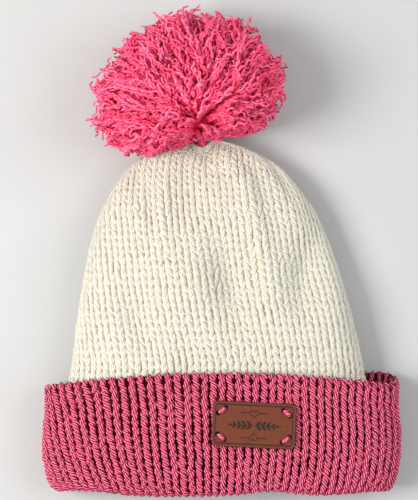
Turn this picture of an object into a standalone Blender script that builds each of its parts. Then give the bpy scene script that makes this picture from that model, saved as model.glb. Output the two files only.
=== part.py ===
# A hand-knitted bobble hat lying on its back, at its real size in metres.
# +X runs across the hat, +Y from its mouth to the bobble, and +Z up from the table it lies on.
# The footprint is centred on the origin, and the hat rests on the plane Z = 0.

import math
import random
from collections import namedtuple

import bmesh
import bpy
from mathutils import Matrix, Vector

MM = 0.001

# The knitting: columns of stitches round the hat, and the walls that two layers of it make
WALE_COUNT = 48
KNIT_WALL = 6.0 * MM
SEAM_GAP = 0.3 * MM
FOLD_SLOT = 0.4 * MM
TABLE_PRESS = 1.5 * MM

# The turned-up cuff
CUFF_WIDTH = 219.0 * MM
CUFF_HEIGHT = 76.0 * MM
CUFF_RISE = 43.8 * MM
CUFF_SIDE_DROP = 8.5 * MM
CUFF_BACK_RAISE = 9.0 * MM
CUFF_RIB_DEPTH = 1.5 * MM
CUFF_RIM_ROUND = 2.6 * MM
CUFF_SLANT_WALES = 0.9

# The crown, which is one tube with the cuff and changes colour behind it
HAT_HEIGHT = 217.0 * MM
CROWN_WIDTH = 181.5 * MM
CROWN_TUCK = 16.0 * MM
CROWN_CLEAR_OF_RIM = 4.0 * MM
CROWN_LEAN = 11.6 * MM
CROWN_BASE_SHIFT = 2.7 * MM
CROWN_RIB_DEPTH = 0.9 * MM
RIB_FADE_SHARE = 0.5
LEAST_CAVITY = 4.0 * MM

# The pompom, tied on at the gathered top
POMPOM_REACH = 66.0 * MM
POMPOM_RISE = 76.0 * MM
POMPOM_TIE_SHIFT = 3.7 * MM
POMPOM_TIE_HEIGHT = 24.0 * MM
POMPOM_TIE_FORWARD = 16.4 * MM
POMPOM_SEAT = 0.5 * MM
POMPOM_CORE_SHARE = 0.6
LOCK_WAIST_SHARE = 0.84
LOCK_TAPER_SHARE = 0.7
LOCK_RAGGED_SHARE = 0.13
LOCK_SEARCH_STEPS = 60

# The leather label, and the yarn that sews it on through pairs of holes
LABEL_WIDTH = 50.0 * MM
LABEL_LENGTH = 27.0 * MM
LABEL_THICKNESS = 1.4 * MM
LABEL_CORNER = 3.0 * MM
LABEL_ACROSS = 18.9 * MM
LABEL_UP = 44.0 * MM
LABEL_TURN_DEG = -2.8
HOLE_PAIR_INSET = 5.6 * MM
HOLE_SPACING = 5.3 * MM
HOLE_RADIUS = 1.4 * MM
HOLE_SIDES = 8
HOLE_LEAN_DEG = 38
STITCH_SPAN = 5.7 * MM
STITCH_RISE = 2.6 * MM
STITCH_RADIUS = 0.85 * MM
STITCH_STEPS = 10
LABEL_FIT_STEPS = 12

# How square the flattened tube is on its crowned front and on the back that it lies on
FRONT_SQUARENESS = 2.3
BACK_SQUARENESS = 4.0

Section = namedtuple("Section", "height half_width top underside lean")
CuffSection = namedtuple("CuffSection", "height half_width top")
Fold = namedtuple("Fold", "around height depth breadth length")
Lift = namedtuple("Lift", "place breadth lift")
Reach = namedtuple("Reach", "turn_deg reach")
Oval = namedtuple("Oval", "centre widest half_width top bottom")
Finish = namedtuple("Finish", "colour roughness")

# The visible crown from the cuff's rim to the gathered top. Heights are shares of that length,
# half widths of half the crown's width, tops and undersides of its rise, leans of CROWN_LEAN.
CROWN_SECTIONS = (
    Section(height=0.285, half_width=0.923, top=0.99, underside=-0.040, lean=0.24),
    Section(height=0.464, half_width=0.862, top=0.95, underside=-0.040, lean=0.42),
    Section(height=0.607, half_width=0.798, top=0.89, underside=-0.040, lean=0.58),
    Section(height=0.687, half_width=0.748, top=0.84, underside=-0.035, lean=0.66),
    Section(height=0.754, half_width=0.697, top=0.79, underside=-0.015, lean=0.72),
    Section(height=0.821, half_width=0.630, top=0.73, underside=0.020, lean=0.79),
    Section(height=0.874, half_width=0.562, top=0.67, underside=0.060, lean=0.85),
    Section(height=0.923, half_width=0.475, top=0.61, underside=0.120, lean=0.91),
    Section(height=0.959, half_width=0.364, top=0.55, underside=0.195, lean=0.95),
    Section(height=0.986, half_width=0.212, top=0.49, underside=0.280, lean=0.98),
    Section(height=1.000, half_width=0.100, top=0.45, underside=0.340, lean=1.00),
)
GATHER_POINT = Section(height=0.974, half_width=0.0, top=0.40, underside=0.40, lean=1.00)
CROWN_WIDEST_SHARE = 0.374
CROWN_TUCK_SHARE = 1.034

# The cuff's outer layer from its bottom fold to its rim, as shares of its height, width and rise
CUFF_SECTIONS = (
    CuffSection(height=0.00, half_width=0.950, top=0.88),
    CuffSection(height=0.20, half_width=0.985, top=0.95),
    CuffSection(height=0.50, half_width=1.000, top=1.00),
    CuffSection(height=0.78, half_width=0.988, top=1.00),
    CuffSection(height=1.00, half_width=0.995, top=1.00),
)
CUFF_WIDEST_SHARE = 0.32

# Heights of the cuff's rings between its rounded rim and its fold, as shares of its height
CUFF_RING_HEIGHTS = (0.78, 0.50, 0.24)

# Soft folds that run down the crown from the gathers. Around is a share of the way round from
# the right side over the front, heights and lengths are shares of the visible crown, depths
# of the wall, and breadths shares of the way round.
CROWN_FOLDS = (
    Fold(around=0.150, height=0.80, depth=0.45, breadth=0.022, length=0.16),
    Fold(around=0.330, height=0.78, depth=0.35, breadth=0.022, length=0.14),
    Fold(around=0.235, height=0.38, depth=0.40, breadth=0.040, length=0.16),
    Fold(around=0.105, height=0.45, depth=0.35, breadth=0.030, length=0.15),
    Fold(around=0.430, height=0.60, depth=0.25, breadth=0.030, length=0.20),
    Fold(around=0.250, height=0.97, depth=0.35, breadth=0.040, length=0.05),
)

# Where the cuff's bottom fold lifts off a straight line. Places run from -1 at the left side
# to 1 at the right side, and lifts are shares of the wall.
CUFF_LIFTS = (
    Lift(place=-0.85, breadth=0.25, lift=0.55),
    Lift(place=0.30, breadth=0.20, lift=0.48),
    Lift(place=0.92, breadth=0.22, lift=0.38),
)

# How far the pompom's locks reach from its tie, as shares of POMPOM_REACH. They turn from the
# right side over the far end, are pressed short against the crown, and spill over its left.
LOCK_REACHES = (
    Reach(turn_deg=-80, reach=0.29),
    Reach(turn_deg=-36, reach=0.42),
    Reach(turn_deg=-10, reach=0.66),
    Reach(turn_deg=10, reach=0.90),
    Reach(turn_deg=30, reach=0.98),
    Reach(turn_deg=97, reach=1.03),
    Reach(turn_deg=140, reach=0.99),
    Reach(turn_deg=186, reach=1.04),
    Reach(turn_deg=207, reach=0.84),
    Reach(turn_deg=222, reach=0.64),
    Reach(turn_deg=244, reach=0.42),
    Reach(turn_deg=280, reach=0.29),
)

CREAM_WOOL = Finish(colour=(0.78, 0.74, 0.62), roughness=0.9)
ROSE_WOOL = Finish(colour=(0.48, 0.05, 0.11), roughness=0.85)
CORAL_WOOL = Finish(colour=(0.72, 0.09, 0.20), roughness=0.95)
CORAL_STITCH = Finish(colour=(0.72, 0.09, 0.20), roughness=0.9)
TAN_LEATHER = Finish(colour=(0.20, 0.065, 0.035), roughness=0.55)


def clear_scene():
    for item in list(bpy.data.objects):
        bpy.data.objects.remove(item, do_unlink=True)


def mix(a, b, share):
    return a + (b - a) * share


def table_value(rows, height, column):
    """Reads a column of a table of sections at a height, along straight lines between rows."""
    for below, above in zip(rows, rows[1:]):
        if height <= above.height:
            share = max(0.0, (height - below.height) / (above.height - below.height))
            return mix(getattr(below, column), getattr(above, column), share)
    return getattr(rows[-1], column)


def shrunk(oval, inset):
    """The oval moved inwards by a wall or a gap."""
    return oval._replace(
        half_width=oval.half_width - inset, top=oval.top - inset, bottom=oval.bottom + inset
    )


def blended(a, b, share):
    return Oval(*(mix(x, y, share) for x, y in zip(a, b)))


def oval_place(oval, angle):
    """A place on an oval whose front and back halves are squared off by different amounts."""
    cosine, sine = math.cos(angle), math.sin(angle)
    front = sine >= 0
    squareness = FRONT_SQUARENESS if front else BACK_SQUARENESS
    reach = oval.top - oval.widest if front else oval.widest - oval.bottom
    x = oval.half_width * math.copysign(abs(cosine) ** (2 / squareness), cosine)
    z = reach * math.copysign(abs(sine) ** (2 / squareness), sine)
    return Vector((oval.centre + x, 0.0, oval.widest + z))


def even_places(oval, shares, samples=384):
    """Points and outward normals at shares of the way round an oval, measured along its edge."""
    fine = [oval_place(oval, math.tau * i / samples) for i in range(samples + 1)]
    runs = [0.0]
    for a, b in zip(fine, fine[1:]):
        runs.append(runs[-1] + (b - a).length)
    found = []
    for share in shares:
        target = (share % 1.0) * runs[-1]
        i = next(k for k in range(samples) if runs[k + 1] >= target)
        part = (target - runs[i]) / (runs[i + 1] - runs[i])
        along = (fine[i + 1] - fine[i]).normalized()
        normal = Vector((along.z, 0.0, -along.x))
        found.append((fine[i].lerp(fine[i + 1], part), normal))
    return found


def rim_height(across, front):
    """The cuff's rim: lower at both sides, and raised at the right of the back. Front runs from
    1 on the cuff's front to -1 behind."""
    raised = CUFF_BACK_RAISE * max(0.0, across) ** 2 * (1 - front) / 2
    return CUFF_HEIGHT - CUFF_SIDE_DROP * across**2 + raised


def foot_height(across):
    """The cuff's bottom fold, lifted here and there off a straight line."""
    return sum(
        row.lift * KNIT_WALL * math.exp(-(((across - row.place) / row.breadth) ** 2))
        for row in CUFF_LIFTS
    )


def cuff_oval(height):
    """The outside of the cuff at a share of its height."""
    return Oval(
        centre=0.0,
        widest=CUFF_RISE * CUFF_WIDEST_SHARE,
        half_width=CUFF_WIDTH / 2 * table_value(CUFF_SECTIONS, height, "half_width"),
        top=CUFF_RISE * table_value(CUFF_SECTIONS, height, "top"),
        bottom=-TABLE_PRESS,
    )


CROWN_RISE = CUFF_RISE - KNIT_WALL - FOLD_SLOT
CROWN_REST = KNIT_WALL + FOLD_SLOT - TABLE_PRESS
COLOUR_CHANGE = CUFF_HEIGHT - CROWN_TUCK
CROWN_EMERGES = CUFF_HEIGHT + CROWN_CLEAR_OF_RIM
CROWN_LENGTH = HAT_HEIGHT - CROWN_EMERGES


def crown_oval(section):
    """The outside of the visible crown at one row of its table."""
    return Oval(
        centre=-CROWN_BASE_SHIFT - (CROWN_LEAN - CROWN_BASE_SHIFT) * section.lean,
        widest=CROWN_RISE * mix(CROWN_WIDEST_SHARE, GATHER_POINT.top, section.height),
        half_width=CROWN_WIDTH / 2 * section.half_width,
        top=CROWN_RISE * section.top,
        bottom=CROWN_RISE * section.underside,
    )


def tucked_oval(spread):
    """The tube behind the cuff, between the crown and the bottom fold."""
    return Oval(
        centre=-CROWN_BASE_SHIFT,
        widest=CUFF_RISE * CUFF_WIDEST_SHARE,
        half_width=CROWN_WIDTH / 2 * spread,
        top=CROWN_RISE,
        bottom=CROWN_REST,
    )


def inner_layer_oval(height):
    """The cuff's inner layer: it hugs the outer one at the fold and the crown at the seam."""
    at_fold = shrunk(cuff_oval(height), KNIT_WALL + FOLD_SLOT)
    share = min(1.0, height * CUFF_HEIGHT / COLOUR_CHANGE)
    return blended(at_fold, tucked_oval(CROWN_TUCK_SHARE), share * share * (3 - 2 * share))


def crown_fold_depth(around, height):
    """How far the crown sinks in at its soft folds."""
    depth = 0.0
    for fold in CROWN_FOLDS:
        sideways = (around - fold.around + 0.5) % 1.0 - 0.5
        falloff = (sideways / fold.breadth) ** 2 + ((height - fold.height) / fold.length) ** 2
        depth += fold.depth * KNIT_WALL * math.exp(-falloff)
    return depth


def bridge(bm, lower, upper):
    """Faces between two rings of the same count, or of twice the count on one side."""
    if len(upper) > len(lower):
        lower, upper = upper, lower
    many, few = len(lower), len(upper)
    for k in range(many):
        a, b = lower[k], lower[(k + 1) % many]
        if many == few:
            bm.faces.new((a, b, upper[(k + 1) % few], upper[k]))
        elif k % 2 == 0:
            bm.faces.new((a, b, upper[k // 2]))
        else:
            c, d = upper[k // 2], upper[(k // 2 + 1) % few]
            bm.faces.new((a, b, d))
            bm.faces.new((a, d, c))


def loft(name, rings, finish, start=None, end=None):
    """A closed skin through rings of points. Without end points its last ring meets its first."""
    bm = bmesh.new()
    loops = [[bm.verts.new(point) for point in ring] for ring in rings]
    for below, above in zip(loops, loops[1:]):
        bridge(bm, below, above)
    for point, loop in ((start, loops[0]), (end, loops[-1])):
        if point is not None:
            tip = bm.verts.new(point)
            for a, b in zip(loop, loop[1:] + loop[:1]):
                bm.faces.new((a, b, tip))
    if start is None and end is None:
        bridge(bm, loops[-1], loops[0])
    bmesh.ops.recalc_face_normals(bm, faces=bm.faces)
    return finished(name, bm, finish)


def material(name, finish):
    made = bpy.data.materials.new(name)
    made.use_nodes = True
    shader = made.node_tree.nodes["Principled BSDF"]
    shader.inputs["Base Color"].default_value = (*finish.colour, 1.0)
    shader.inputs["Roughness"].default_value = finish.roughness
    shader.inputs["Metallic"].default_value = 0.0
    made.diffuse_color = (*finish.colour, 1.0)
    return made


def finished(name, bm, finish):
    """Turns a bmesh into a named object with its own material, in the hat's collection."""
    mesh = bpy.data.meshes.new(name)
    bm.to_mesh(mesh)
    bm.free()
    mesh.shade_smooth()
    mesh.set_sharp_from_angle(angle=math.radians(50))
    made = bpy.data.objects.new(name, mesh)
    mesh.materials.append(material(name + "_finish", finish))
    hat.objects.link(made)
    return made


def cuff_ring(height, inset, count, rib_depth, inner_layer=False):
    """One ring of the cuff. Height is a share from its fold to its rim. An inner layer's ring
    ends level at the change of colour."""
    oval = shrunk((inner_layer_oval if inner_layer else cuff_oval)(height), inset)
    slant = CUFF_SLANT_WALES / WALE_COUNT * height
    shares = []
    for k in range(count):
        left = (1 - math.cos(math.tau * k / count)) / 2
        shares.append(k / count + slant * left)
    points = []
    for k, (place, normal) in enumerate(even_places(oval, shares)):
        across = max(-1.0, min(1.0, (place.x - oval.centre) / oval.half_width))
        foot = foot_height(across)
        level = COLOUR_CHANGE - SEAM_GAP if inner_layer else rim_height(across, normal.z)
        share = min(1.0, height * CUFF_HEIGHT / COLOUR_CHANGE) if inner_layer else height
        valley = rib_depth if k % 2 else 0.0
        place = place - normal * valley
        rim_dip = valley if height == 1.0 else 0.0
        y = mix(foot, level, share) - rim_dip
        points.append(Vector((place.x, y, max(0.0, place.z))))
    return points


def make_cuff():
    """A band of ribbed knitting, folded up over itself at the bottom, as one closed solid."""
    fine, coarse = WALE_COUNT * 4, WALE_COUNT * 2
    fold = KNIT_WALL + FOLD_SLOT / 2
    lip = CUFF_RIM_ROUND / CUFF_HEIGHT
    bend = fold / CUFF_HEIGHT
    slope = math.sin(math.radians(45))
    shallow = CUFF_RIB_DEPTH / 2

    rings = [cuff_ring(1.0, KNIT_WALL / 2, fine, shallow)]
    for height in (1 - lip, *CUFF_RING_HEIGHTS, bend):
        rings.append(cuff_ring(height, 0.0, fine, CUFF_RIB_DEPTH))
    rings.append(cuff_ring(bend * (1 - slope), fold * (1 - slope), fine, CUFF_RIB_DEPTH))
    rings.append(cuff_ring(0.0, fold, fine, shallow))
    rings.append(cuff_ring(bend * (1 - slope), fold * (1 + slope), coarse, 0.0))
    for height in (bend, COLOUR_CHANGE / CUFF_HEIGHT):
        rings.append(cuff_ring(height, KNIT_WALL, coarse, 0.0, inner_layer=True))
    for height in (COLOUR_CHANGE / CUFF_HEIGHT, bend + lip):
        rings.append(cuff_ring(height, 0.0, coarse, 0.0, inner_layer=True))
    rings.append(cuff_ring(bend, fold, coarse, 0.0))
    for height in (bend + lip, CUFF_RING_HEIGHTS[1], 1 - lip):
        rings.append(cuff_ring(height, KNIT_WALL, coarse, 0.0))
    return loft("cuff", rings, ROSE_WOOL)


def crown_rows():
    """The crown's ovals with their heights: the tucked part, then each row of the table."""
    emerging = tucked_oval(1.0)
    rows = [(COLOUR_CHANGE, 0.0, tucked_oval(CROWN_TUCK_SHARE)), (CROWN_EMERGES, 0.0, emerging)]
    for section in CROWN_SECTIONS:
        y = CROWN_EMERGES + CROWN_LENGTH * section.height
        rows.append((y, section.height, crown_oval(section)))
    return rows


def crown_ring(y, height, oval, count, rib_depth, folded):
    """One ring of the crown, with its wales as ribs that fade out at the gathers."""
    shares = [k / count for k in range(count)]
    points = []
    for k, (place, normal) in enumerate(even_places(oval, shares)):
        fade = min(1.0, 2 * oval.half_width / (RIB_FADE_SHARE * CROWN_WIDTH))
        depth = rib_depth * fade if k % 2 else 0.0
        depth += crown_fold_depth(k / count, height) if folded else 0.0
        place = place - normal * depth
        points.append(Vector((place.x, y, max(0.0, place.z))))
    return points


def make_crown():
    """The cream dome: two layers of knitting with the hollow for a head inside them."""
    rows = crown_rows()
    folded = [height > 0 for _, height, _ in rows]
    outside = [
        crown_ring(y, height, oval, WALE_COUNT * 2, CROWN_RIB_DEPTH, fold)
        for (y, height, oval), fold in zip(rows, folded)
    ]
    inside = []
    for (y, height, oval), fold in zip(rows, folded):
        hollow = shrunk(oval, KNIT_WALL)
        if hollow.top - hollow.bottom > LEAST_CAVITY:
            inside.append(crown_ring(y, height, hollow, WALE_COUNT, 0.0, fold))
            inner_top = Vector((hollow.centre, y + KNIT_WALL / 2, (hollow.top + hollow.bottom) / 2))
    gather = crown_oval(GATHER_POINT)
    outer_top = Vector(
        (gather.centre, CROWN_EMERGES + CROWN_LENGTH * GATHER_POINT.height, gather.top)
    )
    rings = list(reversed(inside)) + outside
    return loft("crown", rings, CREAM_WOOL, start=inner_top, end=outer_top)


def outside_level(oval, x, z):
    """Under 1 inside an oval, 1 on it, and more outside."""
    front = z >= oval.widest
    squareness = FRONT_SQUARENESS if front else BACK_SQUARENESS
    reach = oval.top - oval.widest if front else oval.widest - oval.bottom
    across = abs(x - oval.centre) / oval.half_width
    up = abs(z - oval.widest) / reach
    return (across**squareness + up**squareness) ** (1 / squareness)


def crown_top_at(x, z, rows):
    """How far up the crown reaches at a place seen from its top, or None beside it."""
    before = None
    for y, _, oval in reversed(rows):
        level = outside_level(oval, x, z)
        if level <= 1:
            if before is None:
                return y
            last_y, last_level = before
            return mix(y, last_y, (1 - level) / (last_level - level))
        before = (y, level)
    return None


def lock_reach(tie, direction, rows):
    """How far a lock reaches from the tie: to the ball's outline, the table or the crown."""
    first = LOCK_REACHES[0].turn_deg
    turn = (math.degrees(math.atan2(direction.y, direction.x)) - first) % 360 + first
    for before, after in zip(LOCK_REACHES, LOCK_REACHES[1:]):
        if turn <= after.turn_deg:
            share = (turn - before.turn_deg) / (after.turn_deg - before.turn_deg)
            outline = POMPOM_REACH * mix(before.reach, after.reach, share)
            break
    level = math.hypot(direction.x, direction.y)
    reach = 1 / math.hypot(level / outline, direction.z / (POMPOM_RISE - POMPOM_TIE_HEIGHT))
    if direction.z < 0:
        reach = min(reach, -tie.z / direction.z)
    for step in range(1, LOCK_SEARCH_STEPS + 1):
        place = tie + direction * reach * step / LOCK_SEARCH_STEPS
        top = crown_top_at(place.x, place.z, rows)
        if top is not None and place.y < top + POMPOM_SEAT:
            return reach * (step - 1) / LOCK_SEARCH_STEPS
    return reach


def make_pompom():
    """A ball of yarn locks, fused at their roots to the core where they are tied."""
    rows = crown_rows()
    across = crown_oval(GATHER_POINT).centre - POMPOM_TIE_SHIFT
    tie = Vector((across, HAT_HEIGHT + POMPOM_TIE_FORWARD, POMPOM_TIE_HEIGHT))
    ragged = random.Random(11)

    bm = bmesh.new()
    bmesh.ops.create_icosphere(bm, subdivisions=3, radius=POMPOM_CORE_SHARE)
    locks = bmesh.ops.extrude_discrete_faces(bm, faces=bm.faces[:])["faces"]
    for lock in locks:
        middle = lock.calc_center_median()
        for vert in lock.verts:
            narrowed = middle + (vert.co - middle) * LOCK_TAPER_SHARE
            vert.co = narrowed * LOCK_WAIST_SHARE / POMPOM_CORE_SHARE
    tips = bmesh.ops.poke(bm, faces=locks)["verts"]
    for tip in tips:
        tip.co = tip.co.normalized() * (1 - LOCK_RAGGED_SHARE * ragged.random() ** 2)
    for vert in bm.verts:
        share = vert.co.length
        direction = vert.co.normalized()
        vert.co = tie + direction * lock_reach(tie, direction, rows) * share
    bmesh.ops.recalc_face_normals(bm, faces=bm.faces)
    return finished("pompom", bm, CORAL_WOOL)


def cuff_front(x, y):
    """Z on the crests of the cuff's front."""
    oval = cuff_oval(y / CUFF_HEIGHT)
    across = abs(x - oval.centre) / oval.half_width
    drop = (1 - across**FRONT_SQUARENESS) ** (1 / FRONT_SQUARENESS)
    return oval.widest + (oval.top - oval.widest) * drop


def label_frame():
    """Lays the label's plane on the cuff: level with the knitting at both of its ends, and
    raised until it clears the highest crest beneath it."""
    half = LABEL_WIDTH / 2
    slope = (
        cuff_front(LABEL_ACROSS + half, LABEL_UP) - cuff_front(LABEL_ACROSS - half, LABEL_UP)
    ) / LABEL_WIDTH
    turned = Matrix.Rotation(-math.atan(slope), 4, "Y") @ Matrix.Rotation(
        math.radians(LABEL_TURN_DEG), 4, "Z"
    )
    steps = LABEL_FIT_STEPS
    highest = -1.0
    for i in range(steps + 1):
        for j in range(steps + 1):
            across, up = LABEL_WIDTH * (i / steps - 0.5), LABEL_LENGTH * (j / steps - 0.5)
            under = turned @ Vector((across, up, 0.0))
            surface = cuff_front(LABEL_ACROSS + under.x, LABEL_UP + under.y)
            highest = max(highest, surface - under.z)
    origin = Vector((LABEL_ACROSS, LABEL_UP, highest + SEAM_GAP))
    return Matrix.Translation(origin) @ turned


def closed_line(curve, points):
    line = curve.splines.new("POLY")
    line.points.add(len(points) - 1)
    for place, point in zip(line.points, points):
        place.co = (*point, 0.0, 1.0)
    line.use_cyclic_u = True


def rounded_corners(width, length, radius, steps=5):
    """The outline of a plate with round corners."""
    points = []
    for corner in range(4):
        turn = math.radians(90 * corner)
        x = (width / 2 - radius) * (1 if corner in (0, 3) else -1)
        y = (length / 2 - radius) * (1 if corner in (0, 1) else -1)
        for step in range(steps + 1):
            angle = turn + math.radians(90) * step / steps
            points.append((x + radius * math.cos(angle), y + radius * math.sin(angle)))
    return points


def hole_pairs():
    """The middle of each pair of sewing holes in the label, and the angle that the pair runs at."""
    x = LABEL_WIDTH / 2 - HOLE_PAIR_INSET
    y = LABEL_LENGTH / 2 - HOLE_PAIR_INSET
    lean = math.radians(HOLE_LEAN_DEG)
    return {
        "stitch_top_right": (x, y, -lean),
        "stitch_top_left": (-x, y, lean),
        "stitch_bottom_left": (-x, -y, -lean),
        "stitch_bottom_right": (x, -y, lean),
    }


def solid_from_curve(name, curve, frame, finish):
    """Makes a curve's evaluated shape a mesh with welded caps, at a frame."""
    guide = bpy.data.objects.new(name + "_guide", curve)
    hat.objects.link(guide)
    graph = bpy.context.evaluated_depsgraph_get()
    mesh = bpy.data.meshes.new_from_object(guide.evaluated_get(graph))
    bpy.data.objects.remove(guide, do_unlink=True)
    bm = bmesh.new()
    bm.from_mesh(mesh)
    bmesh.ops.remove_doubles(bm, verts=bm.verts, dist=0.001 * MM)
    bmesh.ops.recalc_face_normals(bm, faces=bm.faces)
    made = finished(name, bm, finish)
    made.matrix_world = frame
    return made


def make_label(frame):
    """A stiff tan label with a pair of holes in each corner."""
    curve = bpy.data.curves.new("label_outline", "CURVE")
    curve.dimensions = "2D"
    curve.fill_mode = "BOTH"
    curve.extrude = LABEL_THICKNESS / 2
    closed_line(curve, rounded_corners(LABEL_WIDTH, LABEL_LENGTH, LABEL_CORNER))
    for x, y, lean in hole_pairs().values():
        for end in (-0.5, 0.5):
            middle_x = x + HOLE_SPACING * end * math.cos(lean)
            middle_y = y + HOLE_SPACING * end * math.sin(lean)
            turns = [math.tau * k / HOLE_SIDES for k in range(HOLE_SIDES)]
            hole = [
                (middle_x + HOLE_RADIUS * math.cos(turn), middle_y + HOLE_RADIUS * math.sin(turn))
                for turn in turns
            ]
            closed_line(curve, hole)
    lifted = frame @ Matrix.Translation((0, 0, LABEL_THICKNESS / 2))
    return solid_from_curve("label", curve, lifted, TAN_LEATHER)


def make_stitches(frame):
    """A short arch of yarn through each pair of holes, which sews the label to the cuff."""
    for name, (x, y, lean) in hole_pairs().items():
        curve = bpy.data.curves.new(name, "CURVE")
        curve.dimensions = "3D"
        curve.bevel_depth = STITCH_RADIUS
        curve.bevel_resolution = 1
        curve.use_fill_caps = True
        line = curve.splines.new("POLY")
        line.points.add(STITCH_STEPS)
        for k in range(STITCH_STEPS + 1):
            angle = math.pi * k / STITCH_STEPS
            along = STITCH_SPAN / 2 * math.cos(angle)
            line.points[k].co = (along, 0.0, STITCH_RISE * math.sin(angle), 1.0)
        place = frame @ Matrix.Translation((x, y, 0)) @ Matrix.Rotation(lean, 4, "Z")
        solid_from_curve(name, curve, place, CORAL_STITCH)


def centre_footprint():
    """Moves the whole hat so that its footprint is centred on the origin."""
    bpy.context.view_layer.update()
    corners = [item.matrix_world @ vert.co for item in hat.objects for vert in item.data.vertices]
    shift = Vector(
        [-(min(c[i] for c in corners) + max(c[i] for c in corners)) / 2 for i in (0, 1)]
        + [-min(c[2] for c in corners)]
    )
    for item in hat.objects:
        item.location += shift


clear_scene()
hat = bpy.data.collections.new("bobble_hat")
bpy.context.scene.collection.children.link(hat)
make_crown()
make_cuff()
make_pompom()
label_place = label_frame()
make_label(label_place)
make_stitches(label_place)
centre_footprint()
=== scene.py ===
import math

import bpy
import numpy as np
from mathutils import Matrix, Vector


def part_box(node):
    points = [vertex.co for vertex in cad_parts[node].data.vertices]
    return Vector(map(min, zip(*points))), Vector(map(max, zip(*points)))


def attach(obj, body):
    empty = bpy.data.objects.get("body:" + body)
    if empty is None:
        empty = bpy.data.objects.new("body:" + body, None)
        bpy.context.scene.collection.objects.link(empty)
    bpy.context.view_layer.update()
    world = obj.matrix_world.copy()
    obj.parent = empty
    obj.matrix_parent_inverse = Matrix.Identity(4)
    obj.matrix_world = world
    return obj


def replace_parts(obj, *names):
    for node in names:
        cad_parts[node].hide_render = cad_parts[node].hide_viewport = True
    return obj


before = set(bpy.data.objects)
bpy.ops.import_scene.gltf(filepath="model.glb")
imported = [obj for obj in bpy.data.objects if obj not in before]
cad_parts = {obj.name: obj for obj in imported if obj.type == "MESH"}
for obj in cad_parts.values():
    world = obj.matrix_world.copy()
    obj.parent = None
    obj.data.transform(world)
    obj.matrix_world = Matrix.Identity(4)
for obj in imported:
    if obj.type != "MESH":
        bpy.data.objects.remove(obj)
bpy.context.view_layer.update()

# The table: a plain pale surface that the hat lies on, under a soft lamp high up at its left and
# a larger, weaker one at its right. The camera looks down, leaning 4 degrees to the cuff's side.


def node(tree, kind, feeds=None, **settings):
    """Adds a shader node, fed with values or with other nodes' outputs, and gives its outputs."""
    made = tree.nodes.new("ShaderNode" + kind)
    for name, value in settings.items():
        setattr(made, name, value)
    for socket, feed in (feeds or {}).items():
        if isinstance(feed, bpy.types.NodeSocket):
            tree.links.new(feed, made.inputs[socket])
        else:
            made.inputs[socket].default_value = feed
    return made.outputs


def reckon(tree, operation, first, second=0.0, third=0.0, clamp=False):
    """One sum on up to three numbers."""
    feeds = {0: first, 1: second, 2: third}
    return node(tree, "Math", feeds, operation=operation, use_clamp=clamp)[0]


def tinted(tree, share, first, second):
    """A colour between two colours."""
    feeds = {0: share, 6: first, 7: second}
    return node(tree, "Mix", feeds, data_type="RGBA", clamp_factor=True)[2]


def speckle(tree, size, detail=3.0, along=None):
    """Noise whose patches measure about so many mm. Along given places, the size is its scale."""
    place = along or node(tree, "TexCoord")[3]
    scale = 1000.0 / size if along is None else size
    return node(tree, "TexNoise", {"Vector": place, "Scale": scale, "Detail": detail})[0]


def finish(name, colour, roughness, relief, depth, **fixed):
    """A material made by a function for its colour, its roughness and the height of its relief."""
    made = bpy.data.materials.new(name)
    made.use_nodes = True
    tree = made.node_tree
    shader = tree.nodes["Principled BSDF"]
    for socket, value in fixed.items():
        shader.inputs[socket.replace("_", " ")].default_value = value
    height = relief(tree)
    feeds = {"Height": height, "Distance": depth * 0.001, "Strength": 1.0}
    tree.links.new(node(tree, "Bump", feeds)[0], shader.inputs["Normal"])
    tree.links.new(colour(tree, height), shader.inputs["Base Color"])
    tree.links.new(roughness(tree, height), shader.inputs["Roughness"])
    return made


def table_colour(tree, height):
    return tinted(tree, speckle(tree, 60.0), (0.47, 0.465, 0.455, 1), (0.51, 0.505, 0.495, 1))


def table_roughness(tree, height):
    return reckon(tree, "MULTIPLY_ADD", height, 0.15, 0.62)


def table_grain(tree):
    return speckle(tree, 1.2)


table_paint = finish("table_paint", table_colour, table_roughness, table_grain, 0.02,
                     Specular_IOR_Level=0.3)
TABLE_HALF = 1.5
TABLE_BELOW = 0.0003
table_mesh = bpy.data.meshes.new("table")
corners = [(x * TABLE_HALF, y * TABLE_HALF, 0.0) for x, y in ((-1, -1), (1, -1), (1, 1), (-1, 1))]
table_mesh.from_pydata(corners, [], [(0, 1, 2, 3)])
table = bpy.data.objects.new("table", table_mesh)
table.location.z = -TABLE_BELOW
table_mesh.materials.append(table_paint)
bpy.context.scene.collection.objects.link(table)


def lamp(name, place, size, watts, colour):
    """A square soft lamp that faces the hat."""
    light = bpy.data.lights.new(name, "AREA")
    light.size = size
    light.energy = watts
    light.color = colour
    made = bpy.data.objects.new(name, light)
    made.location = place
    to_hat = made.location * -1
    made.rotation_euler = to_hat.to_track_quat("-Z", "Y").to_euler()
    bpy.context.scene.collection.objects.link(made)


lamp("key_lamp", (-0.88, -0.07, 0.88), 0.55, 18.7, (1.0, 0.99, 0.975))
lamp("fill_lamp", (0.95, 0.1, 0.8), 0.9, 8.0, (0.96, 0.98, 1.0))

room = bpy.data.worlds.new("room")
room.use_nodes = True
room.node_tree.nodes["Background"].inputs["Color"].default_value = (0.93, 0.96, 1.0, 1)
room.node_tree.nodes["Background"].inputs["Strength"].default_value = 0.55
bpy.context.scene.world = room
bpy.context.scene.view_settings.view_transform = "Standard"

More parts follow.
